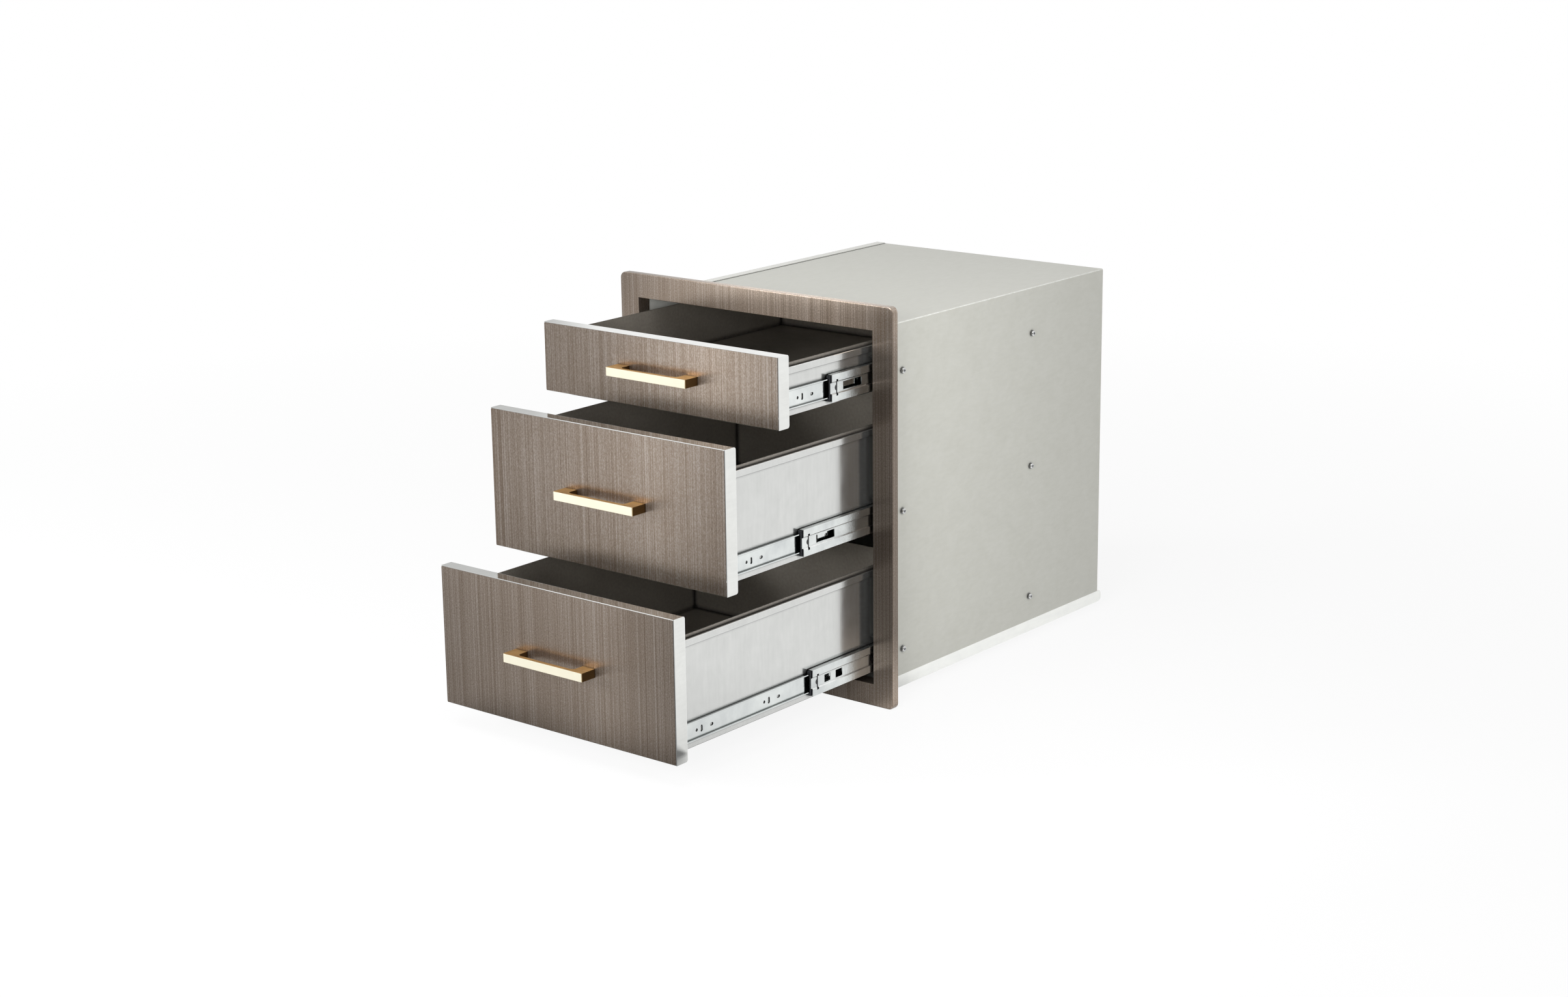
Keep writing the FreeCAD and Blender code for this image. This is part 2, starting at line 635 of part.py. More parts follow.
def handle_screws(front_y, z):
    """Two screws from inside the front into the handle's legs."""
    inside = front_y + SKIN_THICKNESS + PAN_SHEET
    tip = front_y - HANDLE_SCREW_GRIP
    screws = []
    for side in (-1, 1):
        x = side * HANDLE_HOLES_APART / 2
        shank = Part.makeCylinder(SCREW_DIAMETER / 2, inside - tip, Vector(x, tip, z),
                                  Vector(0, 1, 0))
        head = pan_head(0, 0, 0)
        head.rotate(Vector(0, 0, 0), Vector(0, 0, 1), 90)
        head.translate(Vector(x, inside, z))
        screws.append(shank.fuse(head))
    return screws


def tray(box_y, box_z, box_height):
    """Open inner pan of a drawer, standing on the feet of the side plates."""
    floor = box_z + BOX_SHEET
    rim = box_z + box_height + TRAY_RIM
    rear = box_y + BOX_DEPTH
    outer = block(-TRAY_X, TRAY_X, box_y, rear, floor, rim)
    inset = TRAY_X - BOX_SHEET
    inner = block(-inset, inset, box_y + BOX_SHEET, rear - BOX_SHEET, floor + BOX_SHEET,
                  rim + CUT_PAST)
    outer = rounded(outer, 1, [(-TRAY_X, floor, TRAY_BEND + BOX_SHEET),
                               (TRAY_X, floor, TRAY_BEND + BOX_SHEET)])
    inner = rounded(inner, 1, [(-inset, floor + BOX_SHEET, TRAY_BEND),
                               (inset, floor + BOX_SHEET, TRAY_BEND)])
    return outer.cut(inner)


def side_plate(box_y, box_z, box_height):
    """Right outer plate of a drawer: a foot under the tray and a hem folded out at the top."""
    top = box_z + box_height
    inside = BOX_X - BOX_SHEET
    out = inside + BOX_HEM_WIDTH
    low = top - BOX_HEM_HEIGHT
    under = top - BOX_SHEET
    outline = [(inside - SIDE_FOOT, box_z), (BOX_X, box_z), (BOX_X, under),
               (out - BOX_SHEET, under), (out - BOX_SHEET, low), (out, low), (out, top),
               (inside, top), (inside, box_z + BOX_SHEET), (inside - SIDE_FOOT, box_z + BOX_SHEET)]
    plate = prism_y(outline, box_y, box_y + BOX_DEPTH)
    plate = rounded(plate, 1, [(out, top, BOX_HEM_BEND), (inside, top, BOX_HEM_BEND),
                               (BOX_X, box_z, BOX_HEM_BEND)])
    notch = block(BOX_X, out + CUT_PAST, box_y - CUT_PAST, box_y + BOX_HEM_START,
                  low - CUT_PAST, top + CUT_PAST)
    return plate.cut(notch)


def build_housing():
    """The pieces that stay still."""
    save("face_frame", face_frame())
    save("casing_wrap", casing_wrap())
    save("casing_left_side", casing_left_side())
    save("casing_bottom", casing_bottom())
    save("casing_back", casing_back())
    save("base_rail_right", base_rail())
    save("base_rail_left", mirrored(base_rail()))
    screws = [side_screw(y, z) for y, z in screw_spots()]
    washers = [side_washer(y, z) for y, z in screw_spots()]
    save("side_screws", Part.makeCompound(screws + [mirrored(screw) for screw in screws]))
    save("side_washers", Part.makeCompound(washers + [mirrored(ring) for ring in washers]))


def build_drawer(name, front_z, front_h, lift, box_h, opened, member_out, windows):
    """One drawer, its slides and their middle members, drawn out as they stand."""
    front_y = FACE_Y - opened
    box_y = front_y + FRONT_THICKNESS
    box_z = front_z + lift
    centre = box_z + SLIDE_CENTRE
    grip = front_z + front_h / 2
    save(name + "_drawer_front_pan", front_pan(front_y, front_z, front_h, box_z, box_h))
    save(name + "_drawer_front_skin", front_skin(front_y, front_z, front_h))
    save(name + "_drawer_handle", handle(front_y, grip))
    save(name + "_drawer_handle_screws", Part.makeCompound(handle_screws(front_y, grip)))
    save(name + "_drawer_tray", tray(box_y, box_z, box_h))
    plate = side_plate(box_y, box_z, box_h)
    runner = drawer_member(SLIDE_FRONT - opened, centre)
    fixed = cabinet_member(centre)
    front = SLIDE_FRONT + MIDDLE_SETBACK - member_out
    between = middle_member(front, centre, windows)
    for side, place in (("right", lambda shape: shape), ("left", mirrored)):
        save(name + "_drawer_side_plate_" + side, place(plate))
        save(name + "_drawer_inner_slide_" + side, place(runner))
        save(name + "_drawer_outer_slide_" + side, place(fixed))
        save(name + "_drawer_middle_slide_" + side, place(between))
    stop = end_stop(front, centre)
    save(name + "_drawer_end_stops", Part.makeCompound([stop, mirrored(stop)]))
    inner = inner_cage_sizes()
    outer = outer_cage_sizes()
    inner_at = front + CAGE_INNER_AT
    outer_at = front + CAGE_OUTER_AT
    cages = [cage(inner, CAGE_INNER_DEPTH, inner_at, centre),
             cage(outer, CAGE_OUTER_DEPTH, outer_at, centre)]
    save(name + "_drawer_ball_cages",
         Part.makeCompound(cages + [mirrored(strip) for strip in cages]))
    spheres = balls(inner, inner_at, centre) + balls(outer, outer_at, centre)
    save(name + "_drawer_slide_balls",
         Part.makeCompound(spheres + [mirrored(ball) for ball in spheres]))


os.makedirs("parts", exist_ok=True)
build_housing()
for drawer in DRAWERS:
    build_drawer(*drawer)
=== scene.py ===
# %% [markdown]
# # Built-in drawer unit for an outdoor kitchen
#
# The unit is three steel drawers on ball slides, in a sheet steel casing with a bronze coloured
# frame in front. Its shapes come from a CAD model, where every piece is already a mesh in metres.
# This lesson gives each piece the finish of the real one, and then sets up the floor, the lamps
# and the camera. The load comes first because every later step looks the pieces up by name.

# %% Load the CAD model
import json
import math

import bpy
from mathutils import Matrix, Vector

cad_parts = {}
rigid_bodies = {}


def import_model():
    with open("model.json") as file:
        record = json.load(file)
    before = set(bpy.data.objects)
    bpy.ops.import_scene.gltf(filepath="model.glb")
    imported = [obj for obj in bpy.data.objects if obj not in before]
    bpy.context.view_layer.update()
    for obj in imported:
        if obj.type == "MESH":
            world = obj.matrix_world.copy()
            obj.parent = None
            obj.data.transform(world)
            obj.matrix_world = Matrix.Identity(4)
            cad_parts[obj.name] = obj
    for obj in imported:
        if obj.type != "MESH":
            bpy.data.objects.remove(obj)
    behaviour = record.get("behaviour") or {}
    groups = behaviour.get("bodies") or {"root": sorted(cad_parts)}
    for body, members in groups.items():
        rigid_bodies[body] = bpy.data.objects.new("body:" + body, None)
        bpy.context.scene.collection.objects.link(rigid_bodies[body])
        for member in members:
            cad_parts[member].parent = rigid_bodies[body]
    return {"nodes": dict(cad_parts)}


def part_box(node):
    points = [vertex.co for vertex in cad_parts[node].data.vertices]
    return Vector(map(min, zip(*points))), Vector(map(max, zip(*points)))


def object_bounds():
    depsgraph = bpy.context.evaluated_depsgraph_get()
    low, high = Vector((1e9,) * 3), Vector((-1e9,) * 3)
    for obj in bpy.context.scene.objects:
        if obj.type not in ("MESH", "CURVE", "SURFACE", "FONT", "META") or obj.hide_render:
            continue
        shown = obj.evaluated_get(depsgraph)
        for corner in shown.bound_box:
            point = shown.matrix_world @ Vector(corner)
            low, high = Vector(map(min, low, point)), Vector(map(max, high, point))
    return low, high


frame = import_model()
cad_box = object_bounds()
print("CAD box:", [[round(v, 4) for v in corner] for corner in cad_box])

# %% [markdown]
# ## Colours
#
# Paint charts and web pages give colours as sRGB hex values, but Blender's nodes work with linear
# light. One function does that change for the whole lesson, so that each colour below can be
# written as it would look on a screen.

# %% Turn a hex colour into linear light


def colour(text):
    """A hex colour such as 'c8c9c4' as linear red, green, blue and alpha."""
    parts = [int(text[i:i + 2], 16) / 255 for i in (0, 2, 4)]
    linear = [p / 12.92 if p <= 0.04045 else ((p + 0.055) / 1.055) ** 2.4 for p in parts]
    return (*linear, 1.0)


WHITE = colour("ffffff")
print("mid grey 808080 is", round(colour("808080")[0], 3), "in linear light")

# %% [markdown]
# ## Building a material
#
# A material is a small tree of nodes that ends in the Principled shader. Two helpers keep the
# steps short: one makes a material with its plain settings, the other adds a node, sets it and
# links its inputs. A colour or a number that is the same all over a piece goes straight onto the
# shader's own socket.

# %% Two helpers for materials


def material(name, **sockets):
    """A new material, with plain values on the sockets of its shader."""
    made = bpy.data.materials.new(name)
    made.use_nodes = True
    shader = made.node_tree.nodes["Principled BSDF"]
    for socket, value in sockets.items():
        shader.inputs[socket.replace("_", " ")].default_value = value
    return made, made.node_tree, shader


def add(tree, kind, inputs, stops=(), **settings):
    """Adds one node. Inputs are values, or outputs of other nodes, which get linked."""
    node = tree.nodes.new("ShaderNode" + kind)
    for name, value in settings.items():
        setattr(node, name, value)
    for socket, value in inputs.items():
        if isinstance(value, bpy.types.NodeSocket):
            tree.links.new(value, node.inputs[socket])
        else:
            node.inputs[socket].default_value = value
    for number, (spot, shade) in enumerate(stops):
        ramp = node.color_ramp.elements
        stop = ramp[number] if number < 2 else ramp.new(spot)
        stop.position, stop.color = spot, shade
    return node


print("kinds of shader node to add:", sum(kind.startswith("ShaderNode") for kind in dir(bpy.types)))

# %% [markdown]
# A Mix node keeps one set of sockets for numbers and another for colours. Both sets have the same
# names, so a script picks them by their place in the node, and a few words for these places keep
# the recipes readable. Some finishes get several layers of colour, one over the other, so the
# third helper mixes a new shade over the colour that a finish has so far.

# %% Mix one layer over another
SHARE, FIRST_NUMBER, SECOND_NUMBER, FIRST_COLOUR, SECOND_COLOUR = 0, 2, 3, 6, 7
MIXED_NUMBER, MIXED_COLOUR = 0, 2


def lay_over(made, share, shade):
    """Lays a shade over the colour of a finish. The share is an output from 0 to 1."""
    tree = made.node_tree
    base = tree.nodes["Principled BSDF"].inputs["Base Color"]
    mixed = add(tree, "Mix", {SHARE: share, FIRST_COLOUR: base.links[0].from_socket,
                              SECOND_COLOUR: colour(shade)}, data_type="RGBA")
    tree.links.new(mixed.outputs[MIXED_COLOUR], base)


print("a Mix node blends colours at its sockets", FIRST_COLOUR, "and", SECOND_COLOUR)

# %% [markdown]
# Patterns on the object have real sizes, so they are written in millimetres. Most of them are
# noises. A noise gives numbers from 0 to 1, but nearly all of them lie in the middle, so the ramps
# that read one start and end there.

# %% Name the scale and the band of a noise
MM = 0.001
NOISE_LOW, NOISE_HIGH = 0.3, 0.7
CORE_LOW, CORE_HIGH = 0.35, 0.65
print("one unit is", round(1 / MM), "mm, and most of a noise lies from", NOISE_LOW, "to", NOISE_HIGH)

# %% [markdown]
# ## Bronze hairline stainless steel
#
# The frame and the drawer fronts are stainless steel sheet, rubbed with an abrasive belt in one
# direction and then coloured bronze in a vacuum. The belt leaves long upright hairlines, some
# lighter and some darker, over a fine grit. To the eye it is a soft metal sheen that the lines
# break up. It could be drawn with the Wave texture, but its lines are all alike, so this uses noise
# that is squeezed sideways and stretched along Z: the squeeze is the width of a line, and the
# stretch is its length. Real hairlines are a few tenths of a millimetre wide, which a picture of
# the whole unit can't show, so they are drawn about 1 mm wide. The belt also spreads reflections
# sideways, across the lines, and the anisotropic setting does the same. Its tangent is one fixed
# direction, mostly along X and a little along Y, so that it lies across the lines on the faces and
# never stands straight up from the narrow edges.

# %% Make the bronze steel
GRIT_WIDTH, GRIT_LENGTH = 1.1 * MM, 2.2 * MM
HAIRLINE_WIDTH, HAIRLINE_LENGTH = 1.3 * MM, 900 * MM
BAND_WIDTH, BAND_LENGTH = 7 * MM, 900 * MM
BRONZE_CLOUD = 90 * MM
GRAIN = ((GRIT_WIDTH, GRIT_LENGTH, 0.38), (HAIRLINE_WIDTH, HAIRLINE_LENGTH, 0.46),
         (BAND_WIDTH, BAND_LENGTH, 0.08), (BRONZE_CLOUD, BRONZE_CLOUD, 0.08))
DEEPEST, MIDDLE, HIGHEST = 0.36, 0.50, 0.64
BRONZE_SHADES = ((DEEPEST, colour("78695c")), (MIDDLE, colour("908377")),
                 (HIGHEST, colour("ada39b")))
NEXT_LAYER, NEXT_SHEET = 2.7, 11.7
TANGENT_X, TANGENT_Y = 0.94, 0.34


def bronze_hairline_steel(name, number):
    """Bronze coloured hairline steel. The number of a sheet gives it lines of its own."""
    made, tree, shader = material("bronze_hairline_steel_" + name, Metallic=0.9, Roughness=0.31,
                                  Anisotropic=0.9)
    place = add(tree, "TexCoord", {}).outputs["Object"]
    height = 0.0
    for layer, (wide, long, share) in enumerate(GRAIN):
        grain = add(tree, "Mapping", {"Vector": place, "Scale": (1 / wide, 1 / wide, 1 / long)})
        seed = number * NEXT_SHEET + layer * NEXT_LAYER
        lines = add(tree, "TexNoise", {"Vector": grain.outputs[0], "W": seed, "Scale": 1.0,
                                       "Detail": 1.0}, noise_dimensions="4D")
        height = add(tree, "Math", {0: lines.outputs["Fac"], 1: share, 2: height},
                     operation="MULTIPLY_ADD").outputs[0]
    shades = add(tree, "ValToRGB", {"Fac": height}, stops=BRONZE_SHADES)
    # The tone multiplies the colour by painted light and shade, which later cells set for each sheet.
    tone = add(tree, "Mix", {SHARE: 1.0, FIRST_COLOUR: shades.outputs["Color"],
                             SECOND_COLOUR: WHITE},
               data_type="RGBA", blend_type="MULTIPLY", name="tone")
    tree.links.new(tone.outputs[MIXED_COLOUR], shader.inputs["Base Color"])
    rough = add(tree, "MapRange", {"Value": height, "From Min": DEEPEST, "From Max": HIGHEST,
                                   "To Min": 0.28, "To Max": 0.34})
    tree.links.new(rough.outputs[0], shader.inputs["Roughness"])
    bump = add(tree, "Bump", {"Height": height, "Strength": 0.15, "Distance": 0.1 * MM})
    tree.links.new(bump.outputs[0], shader.inputs["Normal"])
    across = add(tree, "CombineXYZ", {"X": TANGENT_X, "Y": TANGENT_Y})
    tree.links.new(across.outputs[0], shader.inputs["Tangent"])
    return made


BRONZE = {name: bronze_hairline_steel(name, number)
          for number, name in enumerate(("frame", "top", "middle", "bottom"))}
print("bronze sheets:", list(BRONZE))

# %% [markdown]
# The coloured sheets aren't all the same tone, and each front is palest right of its middle and
# towards its top. These tones are painted light and shade, for how the light falls on the sheets.
# A tone multiplies the sheet's own colour, so 1 leaves it as it is. The tones stand on a colour ramp
# that runs across the sheet from edge to edge, which the model gives. A ramp holds nothing brighter
# than 1, so it holds each tone as a share of the most, and the product is scaled up again.

# %% Paint light and shade onto the drawer fronts
TONE_MOST = 2.5
TONE_SPOTS = (0.0, 0.27, 0.72, 1.0)
FRONT_PAINTED_LIGHT = {"top": (0.74, 0.88, 1.62, 1.22), "middle": (0.78, 0.92, 1.28, 1.00),
               "bottom": (0.78, 0.94, 1.16, 0.86)}
LOW_TONE, HIGH_TONE = 0.98, 1.02


def sheet_shares(tree, box):
    """How far across and how far up a sheet a point is, each from 0 to 1."""
    place = add(tree, "SeparateXYZ", {0: add(tree, "TexCoord", {}).outputs["Object"]})
    return [add(tree, "MapRange", {"Value": place.outputs[axis], "From Min": box[0][axis],
                                   "From Max": box[1][axis]}).outputs[0] for axis in (0, 2)]


def tone_stops(tones):
    """Pairs of a spot and a tone as the stops of a colour ramp."""
    return [(spot, (tone / TONE_MOST,) * 3 + (1,)) for spot, tone in tones]


# Painted light and shade: each front lighter right of its middle and a little lighter towards its
# top.
for name, tones in FRONT_PAINTED_LIGHT.items():
    tree = BRONZE[name].node_tree
    across, upward = sheet_shares(tree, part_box(name + "_drawer_front_skin"))
    spread = add(tree, "ValToRGB", {"Fac": across}, stops=tone_stops(zip(TONE_SPOTS, tones)))
    raised = add(tree, "MapRange", {"Value": upward, "To Min": LOW_TONE * TONE_MOST,
                                    "To Max": HIGH_TONE * TONE_MOST})
    tone = add(tree, "Math", {0: spread.outputs["Color"], 1: raised.outputs[0]},
               operation="MULTIPLY")
    tree.links.new(tone.outputs[0], tree.nodes["tone"].inputs[SECOND_COLOUR])
print("tones of the fronts, left to right:", FRONT_PAINTED_LIGHT)

# %% [markdown]
# The frame is one sheet with an opening, and its tones are painted light and shade too. Its top
# rail is painted palest right of the middle, and its side rails are painted darkest a little above
# their feet. So it has a ramp along the top rail and another one up the sides, and a short stretch
# near the top where the second gives way to the first.

# %% Paint light and shade onto the frame
TOP_RAIL_PAINTED_LIGHT = ((0.0, 0.75), (0.30, 1.45), (0.52, 2.4), (0.80, 2.4), (1.0, 1.25))
SIDE_RAIL_PAINTED_LIGHT = ((0.0, 1.6), (0.12, 1.0), (0.20, 0.66), (0.35, 0.76), (1.0, 0.86))
SIDES_END, TOP_RAIL_START = 0.88, 0.945
tree = BRONZE["frame"].node_tree
across, upward = sheet_shares(tree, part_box("face_frame"))
# Painted light along the top rail and painted shade up the side rails.
top_rail = add(tree, "ValToRGB", {"Fac": across}, stops=tone_stops(TOP_RAIL_PAINTED_LIGHT))
side_rails = add(tree, "ValToRGB", {"Fac": upward}, stops=tone_stops(SIDE_RAIL_PAINTED_LIGHT))
on_top = add(tree, "MapRange", {"Value": upward, "From Min": SIDES_END,
                                "From Max": TOP_RAIL_START})
tone = add(tree, "Mix", {SHARE: on_top.outputs[0], FIRST_COLOUR: side_rails.outputs["Color"],
                         SECOND_COLOUR: top_rail.outputs["Color"]}, data_type="RGBA")
tone = add(tree, "Math", {0: tone.outputs[MIXED_COLOUR], 1: TONE_MOST}, operation="MULTIPLY")
tree.links.new(tone.outputs[0], tree.nodes["tone"].inputs[SECOND_COLOUR])
print("the top rail's tone takes over from", SIDES_END, "to", TOP_RAIL_START, "of the height")

# %% [markdown]
# ## Mill finish steel
#
# The casing is thin stainless sheet as it leaves the rolling mill: a dull, slightly warm grey with
# faint clouds and rolling lines along the sheet. Most of what it shows is soft shading and little is
# reflection, so it is only about a third metallic, with a high roughness. The other bare sheets are
# rolled in the same way, so one recipe makes them all: the base rails are pale and satin, the pans
# behind the fronts come out of a bright anneal and mirror the studio, and the side plates of the
# drawers lie between these. Streaks say how many times longer a rolling line is along X, Y and Z.

# %% Make the bare sheet steels
MILL_CLOUD, MILL_LINE = 32 * MM, 5 * MM
LINE_SHARE = 0.35


def mill_finish_steel(name, light, dark, roughness, metallic, streaks=(1, 3, 1)):
    """Bare rolled sheet, with clouds and faint rolling lines between two shades."""
    made, tree, shader = material(name, Metallic=metallic, Roughness=roughness)
    place = add(tree, "TexCoord", {}).outputs["Object"]
    clouds = add(tree, "TexNoise", {"Vector": place, "Scale": 1 / MILL_CLOUD, "Detail": 5.0,
                                    "Roughness": 0.6, "Distortion": 0.4})
    along = add(tree, "Mapping", {"Vector": place, "Scale": [1 / MILL_LINE / s for s in streaks]})
    lines = add(tree, "TexNoise", {"Vector": along.outputs[0], "Scale": 1.0, "Detail": 3.0})
    mixed = add(tree, "Mix", {SHARE: LINE_SHARE, FIRST_NUMBER: clouds.outputs["Fac"],
                              SECOND_NUMBER: lines.outputs["Fac"]})
    shades = add(tree, "ValToRGB", {"Fac": mixed.outputs[MIXED_NUMBER]}, stops=(
        (CORE_LOW, colour(dark)), (CORE_HIGH, colour(light))))
    tree.links.new(shades.outputs["Color"], shader.inputs["Base Color"])
    rough = add(tree, "MapRange", {"Value": clouds.outputs["Fac"], "From Min": NOISE_LOW,
                                   "From Max": NOISE_HIGH, "To Min": roughness * 0.85,
                                   "To Max": roughness * 1.15})
    tree.links.new(rough.outputs[0], shader.inputs["Roughness"])
    bump = add(tree, "Bump", {"Height": lines.outputs["Fac"], "Strength": 0.15,
                              "Distance": 0.1 * MM})
    tree.links.new(bump.outputs[0], shader.inputs["Normal"])
    return made


CASING = mill_finish_steel("mill_finish_casing_steel", "bfbfb8", "b7b7af", 0.45, 0.35)
LAP_SHEET = mill_finish_steel("mill_finish_lap_sheet_steel", "d6d6d1", "cdcdc7", 0.42, 0.4)
RAIL = mill_finish_steel("satin_base_rail_steel", "f4f5f1", "ecedea", 0.35, 0.6, (1, 8, 1))
PAN = mill_finish_steel("bright_annealed_pan_steel", "ebece9", "e2e3e0", 0.06, 1.0, (8, 8, 1))
PLATE = mill_finish_steel("satin_side_plate_steel", "d7d8d6", "cfd0ce", 0.16, 0.95, (1, 1, 8))
print("bare sheets:", [made.name for made in (CASING, LAP_SHEET, RAIL, PAN, PLATE)])

# %% [markdown]
# The left sheet of the casing ends in a narrow flange that laps over the top. Where the flange ends,
# a gap stays between the two sheets, and it gathers dust and shade. It is a few tenths of a
# millimetre wide, too fine to show, so it is drawn as a dark line of 2.4 mm on the top sheet. Two
# tests of a point's place make the mask: is it beside the flange's edge, and is it on the top?

# %% Draw the seam beside the lap flange
SEAM_WIDTH, TOP_SHEET = 2.4 * MM, 0.5 * MM
flange_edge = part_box("casing_left_side")[1][0]
casing_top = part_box("casing_wrap")[1][2]
tree = CASING.node_tree
place = add(tree, "SeparateXYZ", {0: add(tree, "TexCoord", {}).outputs["Object"]})
beside = add(tree, "Math", {0: place.outputs["X"], 1: flange_edge, 2: SEAM_WIDTH},
             operation="COMPARE")
raised = add(tree, "Math", {0: place.outputs["Z"], 1: casing_top - TOP_SHEET},
             operation="GREATER_THAN")
in_seam = add(tree, "Math", {0: beside.outputs[0], 1: raised.outputs[0]}, operation="MULTIPLY")
lay_over(CASING, in_seam.outputs[0], "33342f")
print("seam at X", round(flange_edge / MM, 1), "mm")

# %% [markdown]
# ## Dark coated steel of the trays
#
# The trays are steel sheet with a thin dark brown coat, baked on, that lets the metal shine
# through. It mirrors what is in front of it, softly, so a tray looks nearly black in its depth and
# paler where its wall faces the light. That is why it is mostly metallic here, with a middling
# roughness, a fine mottle and larger clouds.

# %% Make the tray coating
MOTTLE, COAT_CLOUD = 3.5 * MM, 90 * MM


def dark_baked_coating():
    """A thin dark coat, half glossy, with a fine mottle."""
    made, tree, shader = material("dark_baked_coating", Metallic=0.65, Roughness=0.38)
    place = add(tree, "TexCoord", {}).outputs["Object"]
    mottle = add(tree, "TexNoise", {"Vector": place, "Scale": 1 / MOTTLE, "Detail": 3.0})
    clouds = add(tree, "TexNoise", {"Vector": place, "Scale": 1 / COAT_CLOUD, "Detail": 2.0})
    mixed = add(tree, "Mix", {SHARE: 0.5, FIRST_NUMBER: mottle.outputs["Fac"],
                              SECOND_NUMBER: clouds.outputs["Fac"]})
    shades = add(tree, "ValToRGB", {"Fac": mixed.outputs[MIXED_NUMBER]}, stops=(
        (CORE_LOW, colour("908a82")), (CORE_HIGH, colour("a39d94"))))
    tree.links.new(shades.outputs["Color"], shader.inputs["Base Color"])
    bump = add(tree, "Bump", {"Height": mottle.outputs["Fac"], "Strength": 0.3,
                              "Distance": 0.1 * MM})
    tree.links.new(bump.outputs[0], shader.inputs["Normal"])
    return made


TRAY = dark_baked_coating()
print("tray coat mottled every", MOTTLE / MM, "mm")

# %% [markdown]
# ## Zinc plated steel of the slides
#
# The slides are rolled from cold steel strip and plated with zinc. The plating is a cool, almost
# mirror bright metal, and the strip under it isn't quite flat, which breaks reflections up into
# speckles. The middle members of this unit are duller and wavier than the others, so the same
# recipe makes them rougher.

# %% Make the zinc plating
ORANGE_PEEL, ZINC_CLOUD = 2.5 * MM, 30 * MM


def zinc_plating(name, roughness, waves):
    """Bright cool metal with the small waves of rolled strip."""
    made, tree, shader = material(name, Metallic=1.0, Roughness=roughness)
    place = add(tree, "TexCoord", {}).outputs["Object"]
    peel = add(tree, "TexNoise", {"Vector": place, "Scale": 1 / ORANGE_PEEL, "Detail": 2.0})
    clouds = add(tree, "TexNoise", {"Vector": place, "Scale": 1 / ZINC_CLOUD, "Detail": 3.0})
    shades = add(tree, "ValToRGB", {"Fac": clouds.outputs["Fac"]}, stops=(
        (NOISE_LOW, colour("d2d6d6")), (NOISE_HIGH, colour("e9edeb"))))
    tree.links.new(shades.outputs["Color"], shader.inputs["Base Color"])
    bump = add(tree, "Bump", {"Height": peel.outputs["Fac"], "Strength": waves,
                              "Distance": 0.08 * MM})
    tree.links.new(bump.outputs[0], shader.inputs["Normal"])
    return made


ZINC = zinc_plating("bright_zinc_plated_steel", 0.08, 0.4)
DULL_ZINC = zinc_plating("satin_zinc_plated_steel", 0.24, 1.0)
print("platings:", ZINC.name, "and", DULL_ZINC.name)

# %% [markdown]
# ## Brushed brass of the handles
#
# The handles are square brass bar, brushed along their length and lacquered, a deeper gold on top.
# Their fronts get a painted highlight of pale gold where the light falls on them, and their ends a
# painted shade of dark brown. Brass keeps its colour in its reflections, so it is metallic all
# over, and only the front a little less so, which lets the lamps lighten it too. The Normal output
# of Texture Coordinate says which way a face points on the object, wherever the camera is, so it
# finds the front and the ends of each bar.

# %% Make the brass
BRUSH_MARK, BRUSH_LENGTH = 0.8 * MM, 40 * MM
FRONT_BEGINS, FRONT_FULL = -0.5, -0.95
END_BEGINS, END_FULL, END_SHARE = 0.8, 0.98, 0.75
FRONT_METALLIC = 0.85


def brushed_brass():
    """Brass, brushed along the bar, with a painted highlight on its front and painted shade on its
    ends.
    """
    made, tree, shader = material("brushed_lacquered_brass", Metallic=1.0, Roughness=0.42,
                                  Anisotropic=0.85)
    place = add(tree, "TexCoord", {}).outputs["Object"]
    along = add(tree, "Mapping", {"Vector": place, "Scale": (
        1 / BRUSH_LENGTH, 1 / BRUSH_MARK, 1 / BRUSH_MARK)})
    marks = add(tree, "TexNoise", {"Vector": along.outputs[0], "Scale": 1.0, "Detail": 2.0})
    shades = add(tree, "ValToRGB", {"Fac": marks.outputs["Fac"]}, stops=(
        (NOISE_LOW, colour("ecb872")), (NOISE_HIGH, colour("fad497"))))
    tree.links.new(shades.outputs["Color"], shader.inputs["Base Color"])
    facing = add(tree, "SeparateXYZ", {0: add(tree, "TexCoord", {}).outputs["Normal"]})
    front = add(tree, "MapRange", {"Value": facing.outputs["Y"], "From Min": FRONT_BEGINS,
                                   "From Max": FRONT_FULL})
    # Painted highlight: the front faces get a pale gold.
    lay_over(made, front.outputs[0], "fdf8e2")
    side = add(tree, "Math", {0: facing.outputs["X"]}, operation="ABSOLUTE")
    end = add(tree, "MapRange", {"Value": side.outputs[0], "From Min": END_BEGINS,
                                 "From Max": END_FULL, "To Max": END_SHARE})
    # Painted shade: the end faces get a dark brown.
    lay_over(made, end.outputs[0], "5f4526")
    front_metallic = add(tree, "MapRange", {"Value": front.outputs[0], "To Min": 1.0,
                                     "To Max": FRONT_METALLIC})
    tree.links.new(front_metallic.outputs[0], shader.inputs["Metallic"])
    bump = add(tree, "Bump", {"Height": marks.outputs["Fac"], "Strength": 0.2,
                              "Distance": 0.05 * MM})
    tree.links.new(bump.outputs[0], shader.inputs["Normal"])
    around = add(tree, "CombineXYZ", {"X": 0.1, "Y": 0.7, "Z": 0.7})
    tree.links.new(around.outputs[0], shader.inputs["Tangent"])
    return made


BRASS = brushed_brass()
print("brush marks", BRUSH_MARK / MM, "mm wide and", BRUSH_LENGTH / MM, "mm long")

# %% [markdown]
# ## Small parts
#
# The end stops are moulded black acetal, a slightly waxy plastic. The balls are polished bearing
# steel, and the screws and washers are turned and pressed stainless steel. On parts this small a
# fine grit in colour and bump is all the detail that shows.

# %% Make the finishes of the small parts


